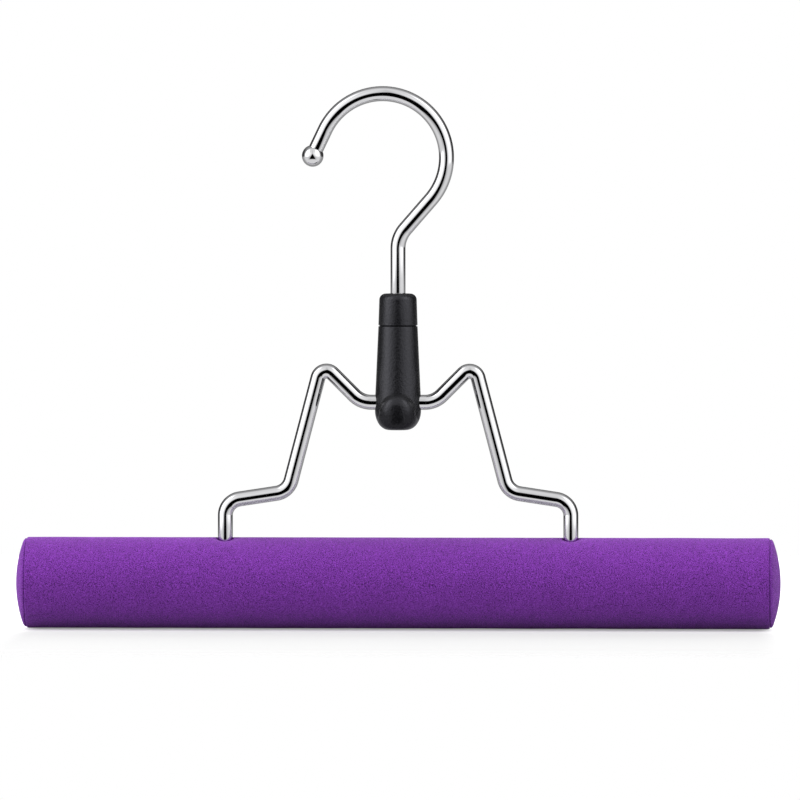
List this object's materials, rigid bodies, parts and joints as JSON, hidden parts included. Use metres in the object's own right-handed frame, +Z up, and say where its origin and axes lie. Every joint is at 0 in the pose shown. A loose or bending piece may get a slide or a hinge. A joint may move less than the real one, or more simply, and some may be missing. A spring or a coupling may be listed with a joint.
{
  "type": "wig hanger",
  "caption": "Hanger for a wig: chrome swivel hook with a ball tip, black moulded sleeve, bent wire frame and a round cloth-covered bar with domed ends.",
  "frame": {"origin": "the point inside the crook that rests on a rod, straight above the swivel axis", "axes": "+X along the bar to the right as seen from the front, +Y to the back, +Z up"},
  "size_m": [0.254, 0.0302, 0.18],
  "materials": {
    "chrome": "bright chrome plate on round wire",
    "black_plastic": "black moulded plastic with a fine grain",
    "white_plastic": "plain white moulded plastic",
    "steel": "plain zinc-plated steel",
    "purple_cloth": "purple cloth with a short, soft, even nap",
    "foam": "cream open-cell foam",
    "wood": "plain turned softwood dowel"
  },
  "bodies": {
    "hook": {"hook_wire": "chrome", "ball_tip": "chrome", "swivel_collar": "black_plastic", "thrust_washer": "white_plastic", "retainer_ring": "steel"},
    "sleeve": {"sleeve_front_shell": "black_plastic", "sleeve_rear_shell": "black_plastic"},
    "frame": {"frame_wire": "chrome", "bar_core": "wood", "foam_pad": "foam", "cover_tube": "purple_cloth", "end_pad_left": "foam", "end_pad_right": "foam", "end_panel_left": "purple_cloth", "end_panel_right": "purple_cloth"}
  },
  "joints": [
    {"name": "hook_swivel", "type": "hinge", "parent": "hook", "child": "sleeve", "pos_m": [0, 0, -0.09919], "axis": [0, 0, 1], "continuous": true},
    {"name": "frame_pivot", "type": "hinge", "parent": "sleeve", "child": "frame", "pos_m": [0, 0, -0.09919], "axis": [1, 0, 0], "range_deg": [-140, 140]}
  ]
}
